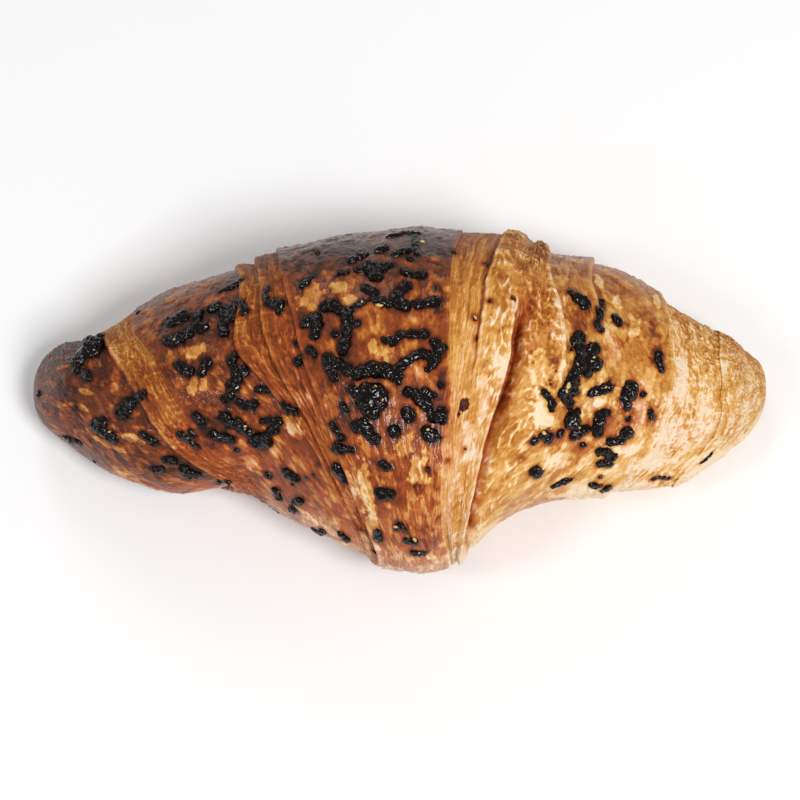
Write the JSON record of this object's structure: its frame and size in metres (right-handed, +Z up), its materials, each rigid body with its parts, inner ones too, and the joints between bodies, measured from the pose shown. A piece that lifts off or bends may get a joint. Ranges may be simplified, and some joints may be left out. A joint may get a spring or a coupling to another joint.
{
  "type": "praline chocolate croissant",
  "caption": "Baked rolled croissant of layered dough, lying on a flat base, with melted chocolate bits on its glazed crust.",
  "frame": {"origin": "centre of the bounding box's bottom, on the flat base the croissant lies on", "axes": "+X along the roll towards the tip with the fewer chocolate bits, +Y towards the straighter back edge, +Z up"},
  "size_m": [0.16, 0.074, 0.0562],
  "materials": {
    "crust": "baked, egg-glazed layered pastry crust, semi-gloss on the browned skin and matt on the torn layers",
    "chocolate": "dark chocolate bits, melted and set, glossy"
  },
  "bodies": {
    "root": {"croissant": "crust"}
  },
  "joints": []
}
